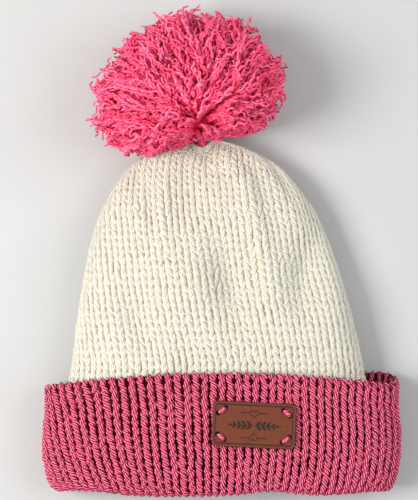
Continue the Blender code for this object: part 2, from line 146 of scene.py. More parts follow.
CAMERA_TILT = math.radians(4.0)
CAMERA_DISTANCE = 0.9
looked_at = (-0.0079, 0.0002, 0.030)
camera = bpy.data.objects.new("camera", bpy.data.cameras.new("camera"))
camera.data.lens = 106.0
camera.location = (
    looked_at[0],
    looked_at[1] - CAMERA_DISTANCE * math.sin(CAMERA_TILT),
    looked_at[2] + CAMERA_DISTANCE * math.cos(CAMERA_TILT),
)
camera.rotation_euler = (CAMERA_TILT, 0.0, 0.0)
bpy.context.scene.collection.objects.link(camera)
bpy.context.scene.camera = camera


# The crown: a dome of chunky cream wool, knitted as a tube of 48 columns of stitches. It is two
# layers thick, gathered to a point at its top, and lies pressed flat on its back with soft folds.

# Lengths are in mm, and places up the hat are measured from its foot, the cuff's bottom fold: where
# the crown starts inside the cuff, where it comes clear of it, and where it is gathered
CROWN_STARTS, CROWN_EMERGES, CROWN_GATHERED = 60.0, 80.0, 217.0
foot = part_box("crown")[0].y * 1000 - CROWN_STARTS
CROWN_HALF = 90.75
CROWN_RISE = 37.4

# How round the front and the back of the flattened tube are: 2 is an oval, and more is squarer
FRONT_SQUARE, BACK_SQUARE = 2.3, 4.0

# The level at which the crown is widest, where it emerges from the cuff and at the gathers
CROWN_WIDEST, GATHERS_WIDEST = 14.0, 14.96

# How far the crown is off the hat's middle where it emerges, and how far on it leans at the gathers
CROWN_SHIFT, CROWN_LEAN = -2.7, -8.9

# The part inside the cuff: as much of it as is knitted here and all of it, as shares of the height
# of what shows, and how much wider it gets
CROWN_TUCK_SHARE, FULL_TUCK_SHARE = 0.117, 0.146
TUCK_SPREAD = 0.034

# The gathers: the share of the width that they draw in, their rise and dive, and the puff there
PUCKER, PUCKER_RISE, PUCKER_DIVE = 0.82, 0.8, 5.0
PUFF = 4.0

# Columns of stitches round the hat, the yarn's radius, the height of a row, and by how many columns
# the front leans to one side from the rim to the gathers
WALES = 48
CROWN_YARN = 1.68
CROWN_ROW = 4.8
COLUMN_LEAN = 1.2

# Height, half width, top, underside and lean, as shares of the crown's own sizes
crown_shape = np.array([
    (0.000, 1.000, 1.00, 0.131, 0.00),
    (0.285, 0.923, 0.99, -0.040, 0.24),
    (0.464, 0.862, 0.95, -0.040, 0.42),
    (0.607, 0.798, 0.89, -0.040, 0.58),
    (0.687, 0.748, 0.84, -0.035, 0.66),
    (0.754, 0.697, 0.79, -0.015, 0.72),
    (0.821, 0.630, 0.73, 0.020, 0.79),
    (0.874, 0.562, 0.67, 0.060, 0.85),
    (0.923, 0.475, 0.61, 0.120, 0.91),
    (0.959, 0.364, 0.55, 0.195, 0.95),
    (0.986, 0.212, 0.49, 0.280, 0.98),
    (1.000, 0.100, 0.45, 0.340, 1.00),
])

# Place across and up the hat, lean in degrees, depth, breadth to the left and to the right, and
# length of each fold from its middle. Those that stand out have a depth under 0.
crown_folds = (
    (6.0, 132.0, -11.0, 11.0, 15.0, 19.0, 30.0),
    (52.0, 134.0, 8.0, 8.0, 15.0, 13.0, 26.0),
    (28.0, 180.0, -15.7, 1.0, 9.0, 9.0, 26.0),
    (8.0, 200.0, -26.0, -2.8, 5.0, 5.0, 15.0),
    (21.0, 160.0, -13.0, -3.2, 7.0, 6.0, 34.0),
    (-44.0, 175.0, 0.0, 2.7, 5.5, 5.0, 18.0),
    (-37.5, 172.0, 4.0, -2.4, 4.5, 4.5, 22.0),
    (-54.0, 106.0, -20.0, 6.0, 9.0, 14.0, 20.0),
    (-24.0, 180.0, 0.0, 1.8, 10.0, 12.0, 18.0),
    (-10.5, 214.0, 0.0, 4.0, 5.0, 5.0, 9.0),
)

# Place round the crown, depth in mm, and breadth as a share of the way round, of each pleat
gather_pleats = np.array([
    (0.035, 1.6, 0.016),
    (0.095, 1.6, 0.014),
    (0.185, 1.6, 0.018),
    (0.265, 2.4, 0.015),
    (0.355, 2.2, 0.016),
    (0.430, 1.8, 0.014),
    (0.560, 1.2, 0.020),
    (0.700, 1.2, 0.020),
    (0.840, 1.2, 0.020),
    (0.930, 1.4, 0.018),
])


def smooth_curve(heights, values, at):
    """Reads a smooth curve through the rows of a table."""
    slope = np.gradient(values, heights)
    i = np.clip(np.searchsorted(heights, at) - 1, 0, len(heights) - 2)
    gap = heights[i + 1] - heights[i]
    t = (at - heights[i]) / gap
    ends = (2 * t**3 - 3 * t**2 + 1) * values[i] + (3 * t**2 - 2 * t**3) * values[i + 1]
    return ends + gap * ((t**3 - 2 * t**2 + t) * slope[i] + (t**3 - t**2) * slope[i + 1])


def tube_outline(centre, widest, half_width, top, bottom, shares):
    """X and Z at shares of the way round a flattened tube, whose front is rounder than its back."""
    angle = np.linspace(0.0, math.tau, 1441)
    front = np.sin(angle) >= 0
    square = np.where(front, FRONT_SQUARE, BACK_SQUARE)
    rise = np.where(front, top - widest, widest - bottom)
    x = half_width * np.sign(np.cos(angle)) * np.abs(np.cos(angle)) ** (2 / square)
    z = rise * np.sign(np.sin(angle)) * np.abs(np.sin(angle)) ** (2 / square)
    run = np.concatenate(([0.0], np.cumsum(np.hypot(np.diff(x), np.diff(z)))))
    at = np.mod(shares, 1.0) * run[-1]
    return centre + np.interp(at, run, x), np.maximum(0.0, widest + np.interp(at, run, z))


def surface_normals(grid):
    """Outward normals of rings of points, a little smoothed so that stitches turn softly."""
    along = np.gradient(grid, axis=0)
    around = np.roll(grid, -1, axis=1) - np.roll(grid, 1, axis=1)
    normals = np.cross(around, along)
    normals /= np.linalg.norm(normals, axis=2, keepdims=True) + 1e-9
    for _ in range(3):
        near = np.roll(normals, 1, axis=1) + np.roll(normals, -1, axis=1)
        normals = normals * 2 + near
        normals /= np.linalg.norm(normals, axis=2, keepdims=True) + 1e-9
    return normals


def knitted_tube(grid):
    """Gives a function that finds places on a tube of knitting, so many mm along it and a share of
    the way round it, with the outward direction and the width of a column there. Also gives how
    far along the tube each ring is."""
    normals = surface_normals(grid)
    shell = grid + normals
    steps = np.linalg.norm(np.diff(shell, axis=0), axis=2).mean(axis=1)
    run = np.concatenate(([0.0], np.cumsum(steps)))
    count = grid.shape[1]
    stretch = np.linalg.norm(np.roll(grid, -3, axis=1) - np.roll(grid, 3, axis=1), axis=2)
    columns = stretch * count / 6.0 / WALES

    def lay(along, share):
        row = np.clip(np.interp(along, run, np.arange(len(run))), 0, len(run) - 1.0001)
        i = row.astype(int)
        a = (row - i)[..., None]
        column = np.mod(share, 1.0) * count
        k = column.astype(int) % count
        b = (column - np.floor(column))[..., None]
        following = (k + 1) % count
        found = []
        for field in (grid, normals, columns[..., None]):
            near = field[i, k] * (1 - b) + field[i, following] * b
            far = field[i + 1, k] * (1 - b) + field[i + 1, following] * b
            found.append(near * (1 - a) + far * a)
        return found[0], found[1], found[2][..., 0]

    return lay, run


def to_hat(points):
    """Millimetres from the hat's foot to metres in the model's frame."""
    return (points + np.array((0.0, foot, 0.0))) * 0.001


def new_piece(name, points, quads, material, ends=(), tint=None, twist=None):
    """Makes a mesh object of quads and end caps, riding on the hat, with its finish."""
    mesh = bpy.data.meshes.new(name)
    corners = [quads.reshape(-1)] + [np.asarray(end) for end in ends]
    sizes = [np.full(len(quads), 4)] + [np.array([len(end)]) for end in ends]
    corners, sizes = np.concatenate(corners), np.concatenate(sizes)
    mesh.vertices.add(len(points))
    mesh.vertices.foreach_set("co", to_hat(points).astype(np.float32).reshape(-1))
    mesh.loops.add(len(corners))
    mesh.loops.foreach_set("vertex_index", corners.astype(np.int32))
    mesh.polygons.add(len(sizes))
    starts = np.concatenate(([0], np.cumsum(sizes)[:-1]))
    mesh.polygons.foreach_set("loop_start", starts.astype(np.int32))
    mesh.update(calc_edges=True)
    if twist is not None:
        spare = np.zeros((len(corners) - len(twist), 2))
        layer = mesh.uv_layers.new(name="twist")
        layer.data.foreach_set("uv", np.concatenate((twist, spare)).astype(np.float32).reshape(-1))
    # The tint layer carries the shade painted into the wool, and the leather's darker pressed lines
    # and edges.
    if tint is not None:
        layer = mesh.attributes.new("tint", "FLOAT", "POINT")
        layer.data.foreach_set("value", tint.astype(np.float32).reshape(-1))
    mesh.shade_smooth()
    mesh.materials.append(material)
    made = bpy.data.objects.new(name, mesh)
    bpy.context.scene.collection.objects.link(made)
    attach(made, "root")
    return made


def yarn(name, path, sides, looped, material):
    """Lays yarn of round section along rows of points. A loop meets its own start. The path gives
    the points, the way up, the yarn's radius and its tint at each of them; the tint carries the
    shade painted into the wool."""
    centres, ups, radii, tint = path
    rows, count = centres.shape[:2]
    if looped:
        ahead = np.roll(centres, -1, axis=1) - np.roll(centres, 1, axis=1)
        gone = np.linalg.norm(np.roll(centres, -1, axis=1) - centres, axis=2)
    else:
        ahead = np.gradient(centres, axis=1)
        gone = np.linalg.norm(np.diff(centres, axis=1), axis=2)
    ahead /= np.linalg.norm(ahead, axis=2, keepdims=True) + 1e-9
    across = np.cross(ups, ahead)
    across /= np.linalg.norm(across, axis=2, keepdims=True) + 1e-9
    above = np.cross(ahead, across)
    angle = math.tau * np.arange(sides) / sides
    ring = (
        np.cos(angle)[:, None] * above[:, :, None, :]
        + np.sin(angle)[:, None] * across[:, :, None, :]
    )
    points = (centres[:, :, None, :] + ring * radii[:, :, None, None]).reshape(-1, 3)

    spans = count if looped else count - 1
    i = np.arange(spans)[None, :, None]
    j = np.arange(sides)[None, None, :]
    base = (np.arange(rows) * count * sides)[:, None, None]
    here, after = i * sides, ((i + 1) % count) * sides
    turn = (j + 1) % sides
    quads = np.stack(
        (base + here + j, base + after + j, base + after + turn, base + here + turn), axis=-1
    ).reshape(-1, 4)
    run = np.concatenate((np.zeros((rows, 1)), np.cumsum(gone, axis=1)), axis=1)
    start = np.broadcast_to(run[:, :spans, None], (rows, spans, sides))
    stop = np.broadcast_to(run[:, 1 : spans + 1, None], (rows, spans, sides))
    low = np.broadcast_to(j / sides, (rows, spans, sides))
    high = low + 1 / sides
    twist = np.stack((start, low, stop, low, stop, high, start, high), axis=-1).reshape(-1, 2)
    ends = []
    if not looped:
        for row in range(rows):
            first = row * count * sides
            last = first + (count - 1) * sides
            ends.append(np.arange(first + sides - 1, first - 1, -1))
            ends.append(np.arange(last, last + sides))
    tint_round = np.repeat(tint.reshape(-1), sides)
    return new_piece(name, points, quads, material, ends, tint_round, twist)


def stitch_rows(lay, starts, sway, loop, depth, thick, samples, seed, side=1.0, shift=0.0):
    """The path of one row of knitting after another: each loop sways sideways, pulls through the
    row before it, and brings its legs to the outside. Where columns are drawn together its yarn is
    finer and lies flatter. Samples gives the points in each column."""
    chance = np.random.default_rng(seed)
    wale = np.concatenate([np.full(n, k, float) for k, n in enumerate(samples)])
    t = np.concatenate([np.arange(n) / n for n in samples])

    def uneven(amount):
        at_columns = chance.normal(0.0, amount, (len(starts), WALES + 1))
        at_columns[:, -1] = at_columns[:, 0]
        return np.stack([np.interp(wale + t, np.arange(WALES + 1), row) for row in at_columns])

    turn = math.tau * t[None, :]
    swing = sway * (1 + uneven(0.15))
    share = (wale + t + shift + uneven(0.03) + swing * np.sin(2 * turn)) / WALES
    along = starts[:, None] + side * loop * (1 + uneven(0.05)) * np.cos(turn) + uneven(0.25)
    places, normals, column = lay(along, share)
    slack = np.minimum(1.0, column / (thick * 5.0))
    out = -depth * slack * np.cos(2 * turn) + uneven(0.14)
    centres = places + normals * out[..., None]
    radii = thick * np.maximum(0.62, slack) * (1 + uneven(0.035))
    centres[..., 2] = np.maximum(centres[..., 2], radii + 0.02)
    # Painted shade: the tint falls where each loop dips in between its neighbours, less where
    # columns are drawn together.
    tint = 1.0 - (0.5 + 0.5 * np.cos(2 * turn)) * slack
    return centres, normals, radii, tint


def wool(name, deep, middle, light, plies, lay_length, relief_depth, bloom=0.1, crisp=1.5):
    """Plied wool: strands twisted round each other, fine fibres along them, and a dull bloom. Light
    and shade are painted into its colour: it is light on top of each ply, a painted highlight,
    middling between the plies, painted shade, and deep where its tint falls to 0, the painted light
    and shade where the yarn dips in or lies deep."""

    def wound(tree):
        twist = node(tree, "SeparateXYZ", {0: node(tree, "UVMap", uv_map="twist")[0]})
        along = reckon(tree, "DIVIDE", twist[0], lay_length)
        return reckon(tree, "SUBTRACT", reckon(tree, "MULTIPLY", twist[1], plies), along), twist

    def relief(tree):
        phase, twist = wound(tree)
        ramp = reckon(tree, "MULTIPLY_ADD", reckon(tree, "FRACT", phase), 2.0, -1.0)
        lobe = reckon(tree, "SUBTRACT", 1.0, reckon(tree, "MULTIPLY", ramp, ramp))
        streak = node(tree, "CombineXYZ", {0: reckon(tree, "MULTIPLY", phase, 7.0),
                                           1: reckon(tree, "MULTIPLY", twist[0], 0.35)})[0]
        fibre = speckle(tree, 1.0, 4.0, along=streak)
        return reckon(tree, "MULTIPLY_ADD", fibre, 0.4, lobe)

    def colour(tree, height):
        grey = node(tree, "Attribute", attribute_name="tint")[2]
        fuzz = speckle(tree, 2.0, 4.0)
        # Painted shade and highlight: the colour runs from middle in the grooves between plies to
        # light on their tops.
        share = reckon(tree, "MULTIPLY_ADD", height, crisp, reckon(tree, "MULTIPLY", fuzz, 0.7))
        share = reckon(tree, "SUBTRACT", share, 0.80 * crisp + 0.10, clamp=True)
        lit = tinted(tree, share, middle, light)
        # Painted shade: where the tint falls, the colour goes to deep.
        sunk = reckon(tree, "MULTIPLY_ADD", grey, -1.2, 1.05, clamp=True)
        return tinted(tree, sunk, lit, deep)

    def roughness(tree, height):
        return reckon(tree, "MULTIPLY_ADD", speckle(tree, 0.8), 0.2, 0.72)

    return finish(name, colour, roughness, relief, relief_depth,
                  Sheen_Weight=bloom, Sheen_Roughness=0.5, Sheen_Tint=deep,
                  Specular_IOR_Level=0.03)


# Places round a ring, 12 to each column of stitches, and the levels of the crown's rings
shares = np.arange(WALES * 12) / (WALES * 12)
tuck = np.linspace(-CROWN_TUCK_SHARE, 0.0, 8)[:-1]
heights = np.concatenate((tuck, np.linspace(0.0, 1.0, 70)))
curves = [smooth_curve(crown_shape[:, 0], crown_shape[:, c], np.maximum(heights, 0.0))
          for c in (1, 2, 3, 4)]

# Each ring of the crown: how far up the hat it is, its height as a share, and its oval's centre,
# widest level, half width, top and underside. The last rings pucker and dive at the gathers.
crown_rings = []
for height, half, top, under, lean in zip(heights, *curves):
    tucked = height < 0
    widest = CROWN_WIDEST + (GATHERS_WIDEST - CROWN_WIDEST) * max(0.0, height)
    width = 1.0 + TUCK_SPREAD * -height / FULL_TUCK_SHARE if tucked else half
    crown_rings.append((CROWN_EMERGES + (CROWN_GATHERED - CROWN_EMERGES) * height, height,
                        CROWN_SHIFT + CROWN_LEAN * lean, widest, CROWN_HALF * width,
                        CROWN_RISE * top, CROWN_RISE * under))
centre, widest, half, top, under = crown_rings[-1][2:]
for dive in (0.3, 0.6, 0.85, 1.0):
    tight = 1 - PUCKER * dive
    up = CROWN_GATHERED + PUCKER_RISE * math.sin(math.pi * dive) - PUCKER_DIVE * dive**2
    crown_rings.append((up, 1.0, centre, widest, half * tight,
                        widest + (top - widest) * tight, widest + (under - widest) * tight))


def gathered_shares(half_width):
    """Where the columns run round a ring of the crown. Those on its front keep their width up to
    the gathers, and the ones at its back are drawn together."""
    widened = min(4.0, (CROWN_HALF / half_width) ** 0.85)
    edge = 0.5 / widened
    around = np.mod(shares + 0.25, 1.0) * 2 - 1
    moved = np.interp(np.abs(around), (0.0, edge * 0.8, edge + 0.3 * (1 - edge), 1.0),
                      (0.0, 0.4, 0.5 + 0.3 * 0.5, 1.0))
    return np.mod(0.25 + np.sign(around) * moved / 2, 1.0)


def crown_outside(inset):
    """Rings of points on the crown's outside, from its gathers to its hidden edge."""
    grid = []
    for y, height, *oval in reversed(crown_rings):
        slant = COLUMN_LEAN / WALES * max(0.0, height) * (1 + np.sin(math.tau * shares)) / 2
        x, z = tube_outline(*oval, gathered_shares(oval[2]) + slant)
        grid.append(np.stack((x, np.full_like(x, y), z), axis=1))
    grid = np.array(grid)
    level = np.array([ring[1] for ring in reversed(crown_rings)])[:, None]
    half = np.array([ring[4] for ring in reversed(crown_rings)])[:, None]
    sideways = np.mod(shares - 0.25 + 0.5, 1.0) - 0.5
    puffed = np.clip((level - 0.86) / 0.12, 0.0, 1.0) * np.clip(half / 9.0, 0.0, 1.0)
    puffed = puffed * np.clip(1.5 - np.abs(sideways) / 0.16, 0.0, 1.0)
    grid[..., 1] += PUFF * puffed * (1 - 1.2 * np.exp(-(sideways / 0.035) ** 2))
    sunk = np.zeros(grid.shape[:2])
    in_front = np.clip((grid[..., 2] - CROWN_WIDEST) / 8.0, 0.0, 1.0)
    for x, y, lean, depth, left, right, length in crown_folds:
        up_x, up_y = math.sin(math.radians(lean)), math.cos(math.radians(lean))
        dx, dy = grid[..., 0] - x, grid[..., 1] - y
        across, along = dx * up_y - dy * up_x, dx * up_x + dy * up_y
        breadth = np.where(across < 0, left, right)
        sunk += depth * in_front * np.exp(-(across / breadth) ** 2 - (along / length) ** 2)
    for around, depth, breadth in gather_pleats:
        sideways = np.mod(shares - around + 0.5, 1.0) - 0.5
        fading = np.clip((level - 0.72) / 0.2, 0.0, 1.0) * (1.08 - np.clip(level, 0, 1)) / 0.2
        sunk += depth * np.exp(-(sideways / breadth) ** 2) * np.clip(fading, 0.0, 1.0)
    sunk *= level > 0
    return grid - surface_normals(grid) * (sunk + inset)[..., None]


crown_lay, crown_run = knitted_tube(crown_outside(2.3))
# Painted light and shade: the ochre-grey middle is painted shade between the plies, and the deep
# colour, brighter and yellower than the lit one, is a painted warm glow in the dips between
# stitches.
crown_wool = wool("cream_wool", (0.95, 0.87, 0.62, 1), (0.60, 0.545, 0.40, 1),
                  (0.755, 0.755, 0.73, 1), 5.0, 2.1, 0.4)
crown_starts = np.arange(2.2, crown_run[-1] - 1.0, CROWN_ROW)
fine_in_front = [16] * (WALES // 2) + [8] * (WALES // 2)
halfway = len(crown_starts) // 2
for name, starts, seed in (("crown_knit_upper", crown_starts[:halfway], 3),
                           ("crown_knit_lower", crown_starts[halfway:], 4)):
    path = stitch_rows(crown_lay, starts, sway=0.215, loop=CROWN_ROW, depth=0.9, thick=CROWN_YARN,
                       samples=fine_in_front, seed=seed)
    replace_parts(yarn(name, path, 6, True, crown_wool), "crown")


def felt_wall(name, rings, capped, material):
    """A closed skin through rings of points, for the layer of knitting behind the stitches.
    Without caps its last ring meets its first."""
    rows, count = rings.shape[:2]
    i = np.arange(rows - 1 if capped else rows)[:, None]
    k = np.arange(count)[None, :]
    after, above = (k + 1) % count, (i + 1) % rows
    quads = np.stack((i * count + k, i * count + after, above * count + after,
                      above * count + k), axis=-1).reshape(-1, 4)
    ends = []
    if capped:
        ends = [np.arange(count - 1, -1, -1), np.arange((rows - 1) * count, rows * count)]
    return new_piece(name, rings.reshape(-1, 3), quads, material, ends)


def felt(name, dark, light):
    """The back of the knitting, where it shows through the holes between stitches, in two colours
    of painted shade, mottled.
    """
    return finish(
        name,
        lambda tree, height: tinted(tree, height, dark, light),
        lambda tree, height: reckon(tree, "SUBTRACT", 1.0, reckon(tree, "MULTIPLY", height, 0.2)),
        lambda tree: speckle(tree, 1.5, 4.0),
        0.6, Specular_IOR_Level=0.02,
    )


# The felt starts a little below the gathers, with a third of the rings and a quarter of the points
# Painted shade: the backing is ochre, not the wool's cream, for the warm shade in the holes between
# stitches; it is made bright so those holes come out ochre rather than grey.
crown_felt_painted_shade = felt("cream_felt_painted_shade", (0.92, 0.78, 0.46, 1), (0.98, 0.92, 0.70, 1))
outer = crown_outside(2.9)[9::3, ::4]
inner = crown_outside(6.0)[12::3, ::4]
outer[..., 2] = np.maximum(outer[..., 2], 1.5)
inner[..., 2] = np.maximum(inner[..., 2], 3.5)
crown_wall = felt_wall("crown_wall", np.concatenate((outer, inner[::-1])), True,
                       crown_felt_painted_shade)
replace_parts(crown_wall, "crown")


# The cuff: the same tube in deep rose wool, folded up over itself at the bottom. Its rim stands
# free of the crown and sags a little at both sides. Its columns lean with the twist of the wool.

# The turned-up band: its height, half width and rise, the level at which it is widest, and its
# underside, which is then pressed flat on the table
CUFF_HEIGHT = 76.0
CUFF_HALF = 111.0
CUFF_RISE = 43.8
CUFF_WIDEST = 14.016
CUFF_UNDERSIDE = -1.5

# The layer inside: how far it goes up, where its seam is, how far in from the outer one it lies at
# the fold, and the underside and spread of the crown's hidden part, to which it narrows
CUFF_INSIDE, CUFF_SEAM = 60.0, 59.7
CUFF_WALL = 6.4
HIDDEN_UNDERSIDE, HIDDEN_SPREAD = 4.9, 1.034

# The rim drops at both sides and is raised at the back on the right, and the columns slant
SIDE_DROP, BACK_RAISE = 8.5, 9.0
CUFF_SLANT = 1.8

# The radius of the turn at the rim and at the bottom fold, the yarn's own, and a row's height
RIM_BEND, FOLD_BEND = 0.4, 6.2
CUFF_YARN = 1.6
CUFF_ROW = 4.9

# Height, half width and top, as shares of the cuff's height, half width and rise
cuff_shape = np.array([
    (0.00, 0.950, 0.88),
    (0.20, 0.985, 0.95),
    (0.50, 1.000, 1.00),
    (0.78, 0.988, 1.00),
    (1.00, 0.995, 1.00),
])

# Place from the left side to the right, breadth, and mm that the bottom fold lifts there
fold_lifts = ((-0.85, 0.25, 3.3), (0.30, 0.20, 2.88), (0.92, 0.22, 2.28))


def cuff_ring(up, inset, inner_layer=False):
    """Points round the cuff, so many mm up from its fold, and an inset in from its outside."""
    height = up / CUFF_HEIGHT
    half, top = (smooth_curve(cuff_shape[:, 0], cuff_shape[:, c], height) for c in (1, 2))
    inwards = np.array((0.0, 0.0, -1.0, -1.0, 1.0))
    oval = np.array((0.0, CUFF_WIDEST, CUFF_HALF * half, CUFF_RISE * top, CUFF_UNDERSIDE))
    if inner_layer:
        share = min(1.0, up / CUFF_INSIDE)
        hidden = np.array((CROWN_SHIFT, CUFF_WIDEST, CROWN_HALF * HIDDEN_SPREAD, CROWN_RISE,
                           HIDDEN_UNDERSIDE))
        oval = oval + CUFF_WALL * inwards
        oval = oval + (hidden - oval) * share**2 * (3 - 2 * share)
    oval = oval + inset * inwards
    slant = CUFF_SLANT / WALES * height * ((1 - np.cos(math.tau * shares)) / 2) ** 3
    x, z = tube_outline(*oval, shares + slant)
    across = np.clip((x - oval[0]) / oval[2], -1.0, 1.0)
    dx, dz = np.roll(x, -1) - np.roll(x, 1), np.roll(z, -1) - np.roll(z, 1)
    front = -dx / (np.hypot(dx, dz) + 1e-9)
    low = sum(lift * np.exp(-((across - place) / breadth) ** 2)
              for place, breadth, lift in fold_lifts)
    raised = BACK_RAISE * np.maximum(0.0, across) ** 2 * (1 - front) / 2
    rim = CUFF_HEIGHT - SIDE_DROP * across**2 + raised
    if inner_layer:
        y = low + (CUFF_SEAM - low) * min(1.0, up / CUFF_INSIDE)
    else:
        y = low + (rim - low) * height
    return np.stack((x, y, z), axis=1)


def cuff_skin(depth, rim_drop, far=CUFF_INSIDE):
    """Rings from the rim down the cuff's outside, round its fold and up inside the hat."""
    under_rim = CUFF_HEIGHT - rim_drop
    rings = [cuff_ring(under_rim + (FOLD_BEND - under_rim) * i / 22, depth) for i in range(23)]
    bend = FOLD_BEND - depth
    for i in range(1, 8):
        turn = math.pi * i / 8
        rings.append(cuff_ring(FOLD_BEND - bend * math.sin(turn),
                               FOLD_BEND - bend * math.cos(turn)))
    rings += [cuff_ring(up, 6.0 - depth, True) for up in np.linspace(FOLD_BEND, far, 13)]
    return rings


# The knitting comes up from deep in the pocket between the cuff and the crown, turns over a little
# below the rim's edge and in from its outside, and goes down outside
RIM_DROP, RIM_INSET = 3.0, 3.0
POCKET_DEEP = 14.0
rim_up = CUFF_HEIGHT - RIM_DROP
pocket = [cuff_ring(rim_up - POCKET_DEEP * (1 - i / 5), RIM_INSET + RIM_BEND) for i in range(5)]
lip = [cuff_ring(rim_up + RIM_BEND * math.sin(turn), RIM_INSET + RIM_BEND * math.cos(turn))
       for turn in np.linspace(0.0, math.pi, 6)[:-1]]
cuff_grid = np.array(pocket + lip + cuff_skin(RIM_INSET - RIM_BEND, RIM_DROP))
lip_row, fold_row = len(pocket), len(pocket + lip) + 26
cuff_lay, cuff_run = knitted_tube(cuff_grid)

# Painted shade: the near-black deep colour darkens the dips between stitches, and the dark middle
# one the grooves between plies.
cuff_wool = wool("rose_wool", (0.05, 0.0, 0.002, 1), (0.15, 0.001, 0.010, 1),
                 (1.0, 0.185, 0.315, 1), 5.0, 2.05, 0.6, bloom=0.02, crisp=2.5)
cuff_starts = np.arange(1.5, cuff_run[-1] - 1.0, CUFF_ROW)
outside = (cuff_starts > cuff_run[lip_row] - 2.0) & (cuff_starts < cuff_run[fold_row] + 4.0)
coarse = [6] * WALES
for name, starts, seed, samples, sides in (
    ("cuff_knit_outside", cuff_starts[outside], 5, fine_in_front, 6),
    ("cuff_knit_inside", cuff_starts[~outside], 6, coarse, 5),
):
    path = stitch_rows(cuff_lay, starts, sway=0.2, loop=CUFF_ROW, depth=0.95, thick=CUFF_YARN,
                       samples=samples, seed=seed, side=-1.0, shift=0.25)
    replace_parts(yarn(name, path, sides, True, cuff_wool), "cuff")

# Painted shade: the backing behind the cuff's stitches is near black, for the shade in the holes,
# not the rose of the wool.
cuff_felt_painted_shade = felt("rose_felt_painted_shade", (0.030, 0.001, 0.005, 1), (0.16, 0.008, 0.024, 1))
skin = np.array(cuff_skin(3.3, 4.5, 59.0) + cuff_skin(4.1, 4.5, 59.0)[::-1])[:, ::4]
skin[..., 2] = np.maximum(skin[..., 2], 1.0)
cuff_wall = felt_wall("cuff_wall", skin, False, cuff_felt_painted_shade)
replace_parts(cuff_wall, "cuff")


# The pompom: a thick bunch of coral yarn tied at its middle and sewn to the gathers. Its cut ends
# have opened into kinked plies that fan out, thin towards their tips and press on the table.

# Where the bunch is tied, where it is sewn on, and how far the ball reaches above the tie
TIE = np.array((-14.5, 226.5, 24.0))
GATHERS = np.array((-11.6, 216.0, 17.0))
BALL_RISE = 52.0

# A ply's radius, the locks in each of three pieces, the plies in a lock, the points along a ply,
# and the strands at the tie
CORAL_PLY = 1.02
LOCKS, PLIES, PLY_STEPS = 250, 3, 34
TIE_STRANDS = 20

# Degrees round the tie, seen from above, and how far the plies reach there in mm
ball_reaches = np.array([
    (-77, 7.5), (-47, 11.0), (-21, 18.0), (-11, 28.0), (-1, 39.0), (17, 57.5), (35, 67.0),
    (63, 72.2), (97, 74.9), (118, 72.9), (158, 70.1), (180, 67.0), (200, 50.5), (213, 34.0),
    (222, 23.0), (230, 14.5), (252, 9.0), (283, 7.5),
])


def crown_top(x, z):
    """How far up the crown reaches at places seen from its top."""
    highest = np.full(x.shape, -1e3)
    for y, height, centre, widest, half_width, top, bottom in crown_rings[len(tuck):]:
        front = z >= widest
        square = np.where(front, FRONT_SQUARE, BACK_SQUARE)
        reach = np.where(front, top - widest, widest - bottom)
        wide, tall = np.abs(x - centre) / half_width, np.abs(z - widest) / reach
        highest = np.where(wide**square + tall**square <= 1.0, np.maximum(highest, y), highest)
    return highest


def ball_outline(toward):
    """How far the ball's outline is from the tie."""
    turn = np.mod(np.degrees(np.arctan2(toward[..., 1], toward[..., 0])) + 77, 360) - 77
    outline = np.interp(turn, ball_reaches[:, 0], ball_reaches[:, 1])
    level = np.hypot(toward[..., 0], toward[..., 1])
    return 1 / np.hypot(level / outline, toward[..., 2] / BALL_RISE)


def ball_reach(toward):
    """How far a ply reaches from the tie: to the ball's outline, the table or the crown."""
    reach = ball_outline(toward)
    down = np.minimum(toward[:, 2], -1e-6)
    reach = np.where(toward[:, 2] < 0, np.minimum(reach, -(TIE[2] - 1.0) / down), reach)
    free = np.ones(len(reach))
    for step in range(60, 0, -1):
        place = TIE + toward * (reach * step / 60)[:, None]
        met = place[:, 1] < crown_top(place[:, 0], place[:, 2]) + 1.0
        free = np.where(met, (step - 1) / 60, free)
    return reach * np.maximum(free, 0.08)


def spread_directions(count):
    """Directions spread evenly over a ball."""
    i = np.arange(count) + 0.5
    z = 1 - 2 * i / count
    turn = i * math.pi * (3 - math.sqrt(5))
    level = np.sqrt(1 - z * z)
    return np.stack((level * np.cos(turn), level * np.sin(turn), z), axis=1)


def unit(vectors):
    """The same directions, each 1 long."""
    return vectors / (np.linalg.norm(vectors, axis=-1, keepdims=True) + 1e-9)


def eased(excess):
    """How far to bring in each ply, so that it bends evenly from its root to where it is most out
    of bounds."""
    steps = np.arange(excess.shape[1])[None, :]
    worst = np.maximum(0.0, excess.max(axis=1, keepdims=True))
    ramp = np.clip(steps / (np.argmax(excess, axis=1)[:, None] + 0.5), 0.0, 1.0)
    return worst * ramp


